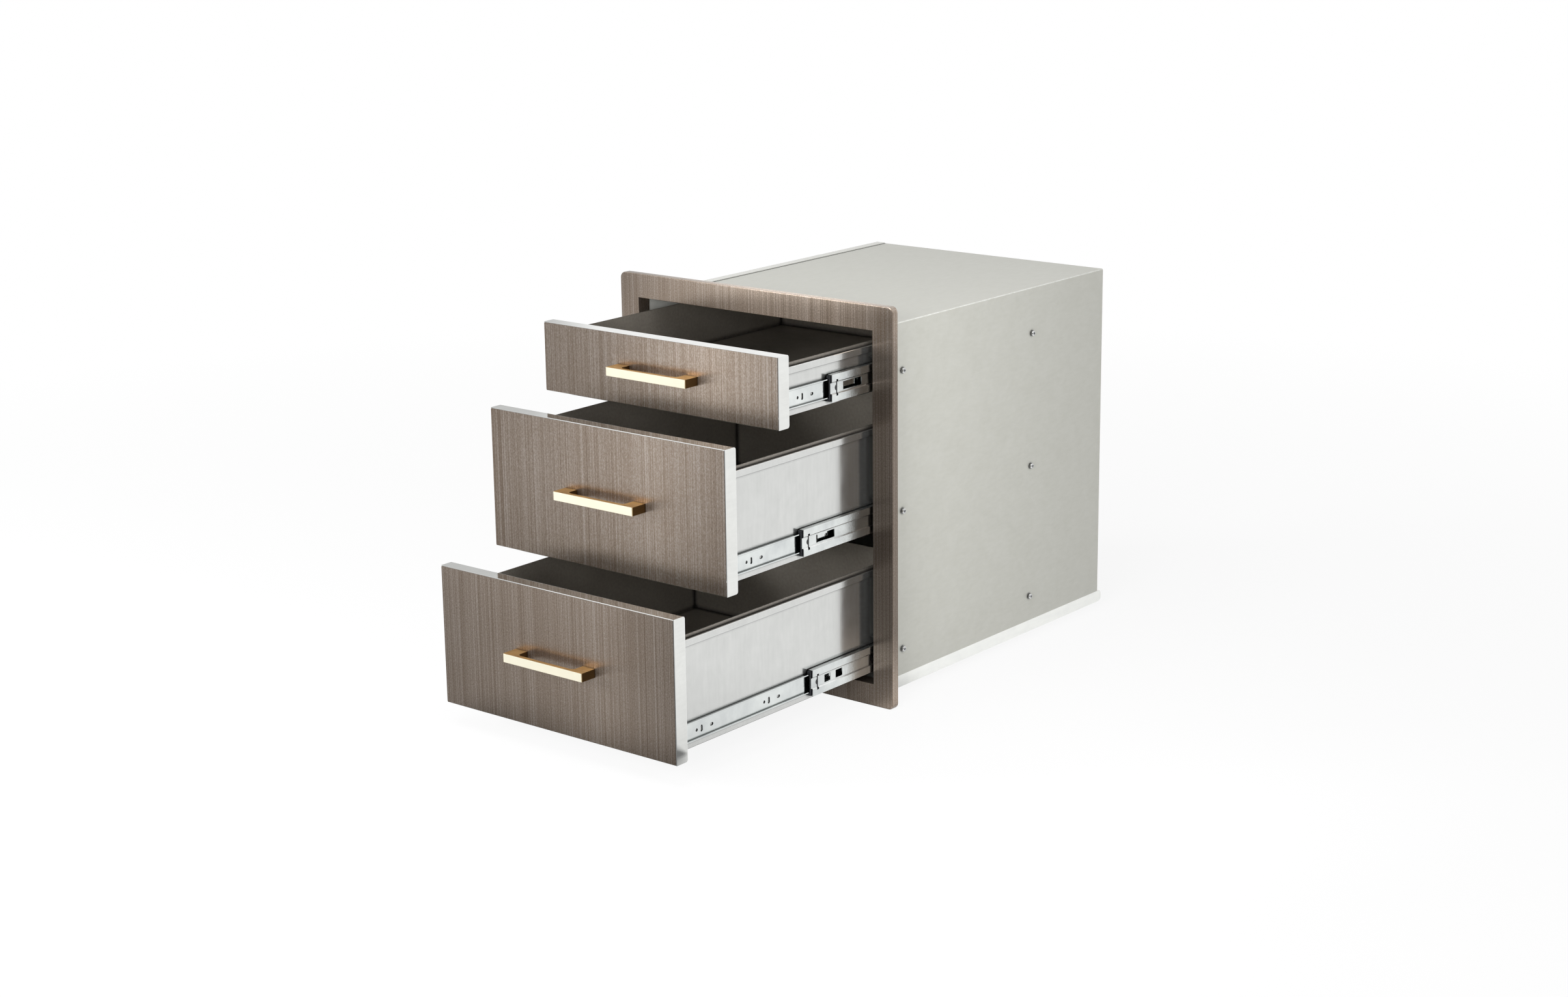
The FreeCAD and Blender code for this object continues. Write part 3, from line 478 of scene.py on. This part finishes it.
def small_part_finish(name, low, high, grit, roughness, metallic):
    """A finish with a fine grit that varies the colour, for parts a few millimetres large."""
    made, tree, shader = material(name, Metallic=metallic, Roughness=roughness)
    place = add(tree, "TexCoord", {}).outputs["Object"]
    speck = add(tree, "TexNoise", {"Vector": place, "Scale": 1 / grit, "Detail": 2.0})
    shades = add(tree, "ValToRGB", {"Fac": speck.outputs["Fac"]}, stops=(
        (CORE_LOW, colour(low)), (CORE_HIGH, colour(high))))
    tree.links.new(shades.outputs["Color"], shader.inputs["Base Color"])
    bump = add(tree, "Bump", {"Height": speck.outputs["Fac"], "Strength": 0.2,
                              "Distance": 0.02 * MM})
    tree.links.new(bump.outputs[0], shader.inputs["Normal"])
    return made


ACETAL = small_part_finish("moulded_black_acetal", "16171a", "222326", 0.8 * MM, 0.4, 0.0)
BALL = small_part_finish("polished_bearing_steel", "dcdde0", "e8e9eb", 2 * MM, 0.08, 1.0)
SCREW = small_part_finish("turned_stainless_screw_steel", "b4b5b6", "d2d3d3", 0.6 * MM, 0.1, 1.0)
print("small parts:", [made.name for made in (ACETAL, BALL, SCREW)])

# %% [markdown]
# ## Uneven gloss
#
# No real gloss is even: the plating bath, handling and dust leave patches that shine a little more
# or less. The sheet steels have such patches already. The tray coat, the platings, the brass and
# the small parts get them here, as a noise over their roughness. They are centimetres wide on the
# large pieces and a few millimetres on the small ones.

# %% Vary the gloss
GLOSS_PATCHES = [(TRAY, 45 * MM), (ZINC, 14 * MM), (DULL_ZINC, 14 * MM), (BRASS, 18 * MM),
                 (ACETAL, 3 * MM), (BALL, 3 * MM), (SCREW, 2 * MM)]
SMOOTHEST, ROUGHEST = 0.8, 1.2
for made, patch in GLOSS_PATCHES:
    tree = made.node_tree
    gloss = tree.nodes["Principled BSDF"].inputs["Roughness"]
    patches = add(tree, "TexNoise", {"Vector": add(tree, "TexCoord", {}).outputs["Object"],
                                     "Scale": 1 / patch, "Detail": 3.0})
    uneven = add(tree, "MapRange", {"Value": patches.outputs["Fac"], "From Min": NOISE_LOW,
                                    "From Max": NOISE_HIGH,
                                    "To Min": gloss.default_value * SMOOTHEST,
                                    "To Max": gloss.default_value * ROUGHEST})
    tree.links.new(uneven.outputs[0], gloss)
print("gloss varied on", len(GLOSS_PATCHES), "finishes")

# %% [markdown]
# ## Worn and highlighted edges
#
# Bending, fitting and handling rub the bends and edges of a sheet paler than its faces, and the
# pale line is also a painted highlight, where a rounded edge would catch the light. On the coated
# trays the edges and inner corners get a dark line instead, which is painted shade. A Bevel node
# reads the surface as if its edges were rounded. Nearly every face of this unit is square to an
# axis, so a rounded normal that points between two axes marks an edge, and the length of that
# normal, squared part by part, drops below 1 there. A noise breaks the wear and highlight up. Real
# wear is a fraction of a millimetre wide, so it is drawn up to three times as wide to show. The
# table gives each finish the radius of its edges, the shade of the wear and painted light, and how
# strong it is at most.

# %% Wear the edges and paint light and shade on them
EDGE_PATCH = 6 * MM
EDGE_BEGINS, EDGE_FULL = 0.97, 0.75
BROKEN_LOW, BROKEN_HIGH, LEAST_EDGE_SHARE = 0.3, 0.6, 0.45
# Pale edge colours are wear and a painted highlight; the trays' dark edge colour is painted shade.
EDGE_WEAR_AND_PAINTED_LIGHT = [
    (CASING, 0.9 * MM, "e9e9e5", 0.7), (LAP_SHEET, 0.9 * MM, "f2f2ef", 0.6),
    (RAIL, 0.8 * MM, "fbfbf9", 0.5), (PAN, 1.2 * MM, "fdfdfc", 0.9),
    (PLATE, 1.0 * MM, "f4f5f3", 0.8), (TRAY, 1.4 * MM, "2e2a26", 0.9),
    (ZINC, 0.4 * MM, "f6f8f7", 0.6), (DULL_ZINC, 0.5 * MM, "fbfcfb", 0.9),
    (BRASS, 0.7 * MM, "f6d79b", 0.7), (ACETAL, 0.4 * MM, "5a5b5e", 0.6),
    (SCREW, 0.3 * MM, "f2f2f2", 0.7),
    *((sheet, 0.9 * MM, "b0a294", 0.3) for sheet in BRONZE.values()),
]
for made, radius, edge_colour, most in EDGE_WEAR_AND_PAINTED_LIGHT:
    tree = made.node_tree
    rounded = add(tree, "Bevel", {"Radius": radius}, samples=4)
    parts = add(tree, "VectorMath", {0: rounded.outputs[0], 1: rounded.outputs[0]},
                operation="MULTIPLY")
    length = add(tree, "VectorMath", {0: parts.outputs[0]}, operation="LENGTH")
    edge = add(tree, "MapRange", {"Value": length.outputs["Value"], "From Min": EDGE_BEGINS,
                                  "From Max": EDGE_FULL, "To Max": most})
    patch = add(tree, "TexNoise", {"Vector": add(tree, "TexCoord", {}).outputs["Object"],
                                   "Scale": 1 / EDGE_PATCH, "Detail": 2.0})
    broken = add(tree, "MapRange", {"Value": patch.outputs["Fac"], "From Min": BROKEN_LOW,
                                    "From Max": BROKEN_HIGH, "To Min": LEAST_EDGE_SHARE})
    share = add(tree, "Math", {0: edge.outputs[0], 1: broken.outputs[0]}, operation="MULTIPLY")
    lay_over(made, share.outputs[0], edge_colour)
print("edges worn on", len(EDGE_WEAR_AND_PAINTED_LIGHT), "finishes")

# %% [markdown]
# ## Dark corners
#
# Tight corners are the opposite of edges: little light gets in, and oil and dust stay there. The
# grooves and holes of the slides, the bends inside the trays and the seats of the screws show as
# thin dark lines, which are painted shade as well as dirt. The Ambient Occlusion node measures how
# open a point is within a few millimetres, from 0 to 1, and where it is shut in, a dark shade is
# mixed over the finish as painted shade and dirt.

# %% Darken the corners
OPEN, SHUT_IN = 0.95, 0.50
# The dark colours are painted shade in the corners as well as dirt.
CORNER_DIRT_AND_SHADE = [
    (ZINC, 3 * MM, "3a3c3c", 0.85), (DULL_ZINC, 3 * MM, "323434", 0.85),
    (PLATE, 5 * MM, "303231", 0.95), (PAN, 2 * MM, "4a4a48", 0.6),
    (TRAY, 8 * MM, "171412", 0.9), (SCREW, 3 * MM, "0e0e0e", 0.95),
    (CASING, 4 * MM, "55544f", 0.6), (BRASS, 3 * MM, "5b4222", 0.5),
    *((sheet, 3 * MM, "3a322b", 0.5) for sheet in BRONZE.values()),
]
for made, reach, dirt_and_shade, most in CORNER_DIRT_AND_SHADE:
    tree = made.node_tree
    openness = add(tree, "AmbientOcclusion", {"Distance": reach}, samples=8)
    shut_in = add(tree, "MapRange", {"Value": openness.outputs["AO"], "From Min": OPEN,
                                     "From Max": SHUT_IN, "To Max": most})
    lay_over(made, shut_in.outputs[0], dirt_and_shade)
print("corners darkened on", len(CORNER_DIRT_AND_SHADE), "finishes")

# %% [markdown]
# ## Dress the pieces
#
# The CAD model names a finish slot for every piece, and most pieces go by it. Where pieces of one
# slot differ, they go by name: each bronze sheet has its own lines, the left sheet of the casing
# is paler than the rest, and the middle members of the slides have the duller plating.

# %% Put each finish on its pieces
BY_SLOT = {
    "casing_steel": CASING, "rail_steel": RAIL, "pan_steel": PAN, "plate_steel": PLATE,
    "tray_steel": TRAY, "slide_steel": ZINC, "ball_steel": BALL, "screw_steel": SCREW,
    "black_plastic": ACETAL, "brass": BRASS,
}


def finish_of(name, slot_name):
    """The finish of a piece, from its name and the name of its slot."""
    if slot_name == "bronze_steel":
        return BRONZE["frame" if name == "face_frame" else name.split("_")[0]]
    if name == "casing_left_side":
        return LAP_SHEET
    if "_middle_slide_" in name:
        return DULL_ZINC
    return BY_SLOT[slot_name]


dressed = {}
for name in frame["nodes"]:
    for slot in bpy.data.objects[name].material_slots:
        slot.material = finish_of(name, slot.material.name)
        dressed[slot.material.name] = dressed.get(slot.material.name, 0) + 1
print("pieces in each finish:", dressed)

# %% [markdown]
# ## Floor
#
# The unit stands on the white floor of a studio, a plain square at the height of its lowest edge.

# %% Lay the floor
FLOOR_HALF = 6.0
floor_height = cad_box[0][2]
corners = [(x, y, floor_height) for x, y in (
    (-FLOOR_HALF, -FLOOR_HALF), (FLOOR_HALF, -FLOOR_HALF),
    (FLOOR_HALF, FLOOR_HALF), (-FLOOR_HALF, FLOOR_HALF))]
floor_mesh = bpy.data.meshes.new("studio_floor")
floor_mesh.from_pydata(corners, [], [(0, 1, 2, 3)])
floor = bpy.data.objects.new("studio_floor", floor_mesh)
bpy.context.collection.objects.link(floor)
print("floor at", round(floor_height / MM, 2), "mm")

# %% [markdown]
# Bright metal shows what it mirrors, so the floor matters twice: once as the background and once
# as what the sheets reflect. What mirror rays see of the floor is painted shadow and shade: it is
# painted dimmer close in front of the unit, which is what the drawer fronts mirror, dimmer still
# towards the corner of the room in front and to the right, which darkens the bends that face that
# way, and darkest as a painted shadow under the drawers. Each of the three is a share of full
# brightness, and their product is what a mirror ray sees.

# %% Say how bright the floor looks in the metal
# Painted shadow in front of the unit, painted shade towards the front right, and painted shadow under
# the drawers.
DIM_PLACE, DIM_NEAR, DIM_FAR, DIM_LEVEL = (-0.25, -0.70, 0.0), 0.2, 1.0, 0.62
DARK_CORNER, DARK_HEADING, DARK_LEVEL = (0.28, -0.30, 0.0), (0.63, -0.77, 0.0), 0.25
FLOOR_DARK_BEGINS, FLOOR_DARK_FULL = 0.2, 0.8
SHADE_PLACE, SHADE_LEVEL = (0.0, -0.22, 0.0), 0.15
SHADE_HALVES, SHADE_FADES = (0.19, 0.24), (0.08, 0.12)


def floor_in_metal(tree, place):
    """How bright a point of the floor looks in a mirror, with its painted shadow and shade, as the
    output of the last node.
    """
    away = add(tree, "VectorMath", {0: place, 1: DIM_PLACE}, operation="DISTANCE")
    near_front = add(tree, "MapRange", {"Value": away.outputs["Value"], "From Min": DIM_NEAR,
                                        "From Max": DIM_FAR, "To Min": DIM_LEVEL, "To Max": 1.0})
    offset = add(tree, "VectorMath", {0: place, 1: DARK_CORNER}, operation="SUBTRACT")
    heading = add(tree, "VectorMath", {0: offset.outputs[0]}, operation="NORMALIZE")
    turn = add(tree, "VectorMath", {0: heading.outputs[0], 1: DARK_HEADING},
               operation="DOT_PRODUCT")
    to_corner = add(tree, "MapRange", {"Value": turn.outputs["Value"],
                                       "From Min": FLOOR_DARK_BEGINS, "From Max": FLOOR_DARK_FULL,
                                       "To Min": 1.0, "To Max": DARK_LEVEL})
    level = add(tree, "Math", {0: near_front.outputs[0], 1: to_corner.outputs[0]},
                operation="MULTIPLY")
    offset = add(tree, "VectorMath", {0: place, 1: SHADE_PLACE}, operation="SUBTRACT")
    apart = add(tree, "VectorMath", {0: offset.outputs[0]}, operation="ABSOLUTE")
    apart = add(tree, "SeparateXYZ", {0: apart.outputs[0]})
    outside = [add(tree, "MapRange", {"Value": apart.outputs[axis], "From Min": half,
                                      "From Max": half + fade}).outputs[0]
               for axis, (half, fade) in enumerate(zip(SHADE_HALVES, SHADE_FADES))]
    in_open = add(tree, "Math", {0: outside[0], 1: outside[1]}, operation="MAXIMUM")
    shade = add(tree, "MapRange", {"Value": in_open.outputs[0], "To Min": SHADE_LEVEL})
    return add(tree, "Math", {0: level.outputs[0], 1: shade.outputs[0]},
               operation="MULTIPLY").outputs[0]


print("the mirrored floor under the drawers is", SHADE_LEVEL, "as bright as in the open")

# %% [markdown]
# The floor itself is matt grey paper that takes the soft shadow of the unit. Light Path tells which
# kind of ray asks: rays from the camera see mostly a white glow, which hides the paper's grey and
# lets a little of the shadow through near the unit, and mirror rays see the brightness of the last
# step. Rays that only carry light see the plain paper, so the glow adds no light to the object.

# %% Make the floor white
GLOW_NEAR, NEAR, FAR = 0.90, 0.7, 2.6


def mirror_rays(tree, path):
    """Is 1 for rays that come by a reflection or through glass."""
    return add(tree, "Math", {0: path.outputs["Is Glossy Ray"],
                              1: path.outputs["Is Transmission Ray"]},
               operation="MAXIMUM").outputs[0]


paper, tree, shader = material("white_studio_floor", Roughness=0.9, Base_Color=colour("cfcfcf"))
place = add(tree, "TexCoord", {}).outputs["Object"]
away = add(tree, "VectorMath", {0: place}, operation="LENGTH")
to_white = add(tree, "MapRange", {"Value": away.outputs["Value"], "From Min": NEAR,
                                  "From Max": FAR, "To Min": GLOW_NEAR, "To Max": 1.0})
path = add(tree, "LightPath", {})
by_eye = add(tree, "Math", {0: path.outputs["Is Camera Ray"], 1: to_white.outputs[0]},
             operation="MULTIPLY")
mirrored = mirror_rays(tree, path)
share = add(tree, "Math", {0: mirrored, 1: by_eye.outputs[0]}, operation="MAXIMUM")
strength = add(tree, "Mix", {SHARE: mirrored, FIRST_NUMBER: 1.0,
                             SECOND_NUMBER: floor_in_metal(tree, place)})
glow = add(tree, "Emission", {"Color": WHITE, "Strength": strength.outputs[MIXED_NUMBER]})
both = add(tree, "MixShader", {0: share.outputs[0], 1: shader.outputs[0], 2: glow.outputs[0]})
tree.links.new(both.outputs[0], tree.nodes["Material Output"].inputs["Surface"])
floor_mesh.materials.append(paper)
print("the glow covers", GLOW_NEAR, "of the paper at", NEAR, "m and all of it at", FAR, "m")

# %% [markdown]
# ## World
#
# The world is plain white for the camera and a soft grey for the light that it gives, so that it
# only fills the shadows. In the metal it is the walls of the studio: white, but darker towards the
# same corner in front and to the right, and dimmer from a line on the left on, which tones down the
# left ends of the bright upper edges of the pans.

# %% Light the world
WORLD_FILL, LEFT_LEVEL = 0.32, 0.62
WORLD_DARK_BEGINS, WORLD_DARK_FULL = 0.3, 0.8
LEFT_BEGINS, LEFT_FULL = -0.670, -0.684
world = bpy.data.worlds.new("studio")
world.use_nodes = True
bpy.context.scene.world = world
tree = world.node_tree
heading = add(tree, "TexCoord", {}).outputs["Generated"]
turn = add(tree, "VectorMath", {0: heading, 1: DARK_HEADING}, operation="DOT_PRODUCT")
to_corner = add(tree, "MapRange", {"Value": turn.outputs["Value"], "From Min": WORLD_DARK_BEGINS,
                                   "From Max": WORLD_DARK_FULL, "To Min": 1.0,
                                   "To Max": DARK_LEVEL})
sideways = add(tree, "SeparateXYZ", {0: heading})
on_left = add(tree, "MapRange", {"Value": sideways.outputs["X"], "From Min": LEFT_BEGINS,
                                 "From Max": LEFT_FULL, "To Min": 1.0, "To Max": LEFT_LEVEL})
in_metal = add(tree, "Math", {0: to_corner.outputs[0], 1: on_left.outputs[0]},
               operation="MULTIPLY")
path = add(tree, "LightPath", {})
seen = add(tree, "Mix", {SHARE: path.outputs["Is Camera Ray"], FIRST_NUMBER: WORLD_FILL,
                         SECOND_NUMBER: 1.0})
level = add(tree, "Mix", {SHARE: mirror_rays(tree, path),
                          FIRST_NUMBER: seen.outputs[MIXED_NUMBER],
                          SECOND_NUMBER: in_metal.outputs[0]})
tree.links.new(level.outputs[MIXED_NUMBER], tree.nodes["Background"].inputs["Strength"])
tree.nodes["Background"].inputs["Color"].default_value = WHITE
print("the world gives", WORLD_FILL, "of white as light")

# %% [markdown]
# ## Lamps
#
# Soft boxes are large square lamps, which give soft shadows. The two in front light the drawers and
# reach into the trays, the two on the right lift the long side of the casing, and the one overhead
# lights the tops. Only the overhead one shows in the metal, as a clean highlight along the upper
# edges, because the others would stand in the sheets as bright squares. Each row gives the place,
# what the lamp points at, its size in metres, its power in watts and whether metal mirrors it.

# %% Hang the soft boxes
LAMPS = [
    ("front_left_softbox", (-1.9, -2.0, 0.95), (0.0, -0.1, 0.3), 0.9, 110, False),
    ("front_right_softbox", (1.3, -3.1, 1.10), (0.0, -0.1, 0.3), 1.1, 90, False),
    ("right_softbox", (1.05, -0.70, 0.75), (0.2, 0.15, 0.3), 0.7, 4, False),
    ("side_softbox", (0.80, -0.14, 0.60), (0.2, 0.15, 0.33), 0.4, 2.6, False),
    ("overhead_softbox", (0.1, -0.9, 1.9), (0.0, -0.1, 0.4), 1.2, 24, True),
]
for name, place, aim, size, watts, mirrored in LAMPS:
    box = bpy.data.lights.new(name, "AREA")
    box.shape, box.size, box.energy = "SQUARE", size, watts
    lamp = bpy.data.objects.new(name, box)
    lamp.location = place
    lamp.rotation_euler = (Vector(aim) - Vector(place)).to_track_quat("-Z", "Y").to_euler()
    lamp.visible_camera = False
    lamp.visible_glossy = mirrored
    bpy.context.collection.objects.link(lamp)
    print(name, watts, "W")

# %% [markdown]
# ## Camera
#
# The camera stands to the right of the unit and a little above it. Its angles were found from the
# straight edges of the casing and the drawers, whose real directions are known. It turns about the
# upright axis first, then dips towards the unit, and last rolls a little about its own line of
# sight, so the three rotations are multiplied in that order.

# %% Place the camera
CAMERA_PLACE = (2.28941, -2.76141, 1.19700)
CAMERA_TURN, CAMERA_DIP, CAMERA_ROLL = (math.radians(a) for a in (39.118, 14.799, -0.714))
FOCAL_LENGTH, SENSOR_WIDTH = 61.853, 36.0
lens = bpy.data.cameras.new("camera")
lens.lens = FOCAL_LENGTH
lens.sensor_fit = "HORIZONTAL"
lens.sensor_width = SENSOR_WIDTH
camera = bpy.data.objects.new("camera", lens)
camera.matrix_world = (
    Matrix.Translation(CAMERA_PLACE)
    @ Matrix.Rotation(CAMERA_TURN, 4, "Z")
    @ Matrix.Rotation(math.pi / 2 - CAMERA_DIP, 4, "X")
    @ Matrix.Rotation(CAMERA_ROLL, 4, "Z")
)
bpy.context.collection.objects.link(camera)
bpy.context.scene.camera = camera
bpy.context.scene.view_settings.view_transform = "Standard"
print("the camera is", round(Vector(CAMERA_PLACE).length, 2), "m from the middle of the frame's foot")

# %% [markdown]
# ## Finish
#
# The dressed unit has to stay as large as the CAD model, whose box is printed after the load.
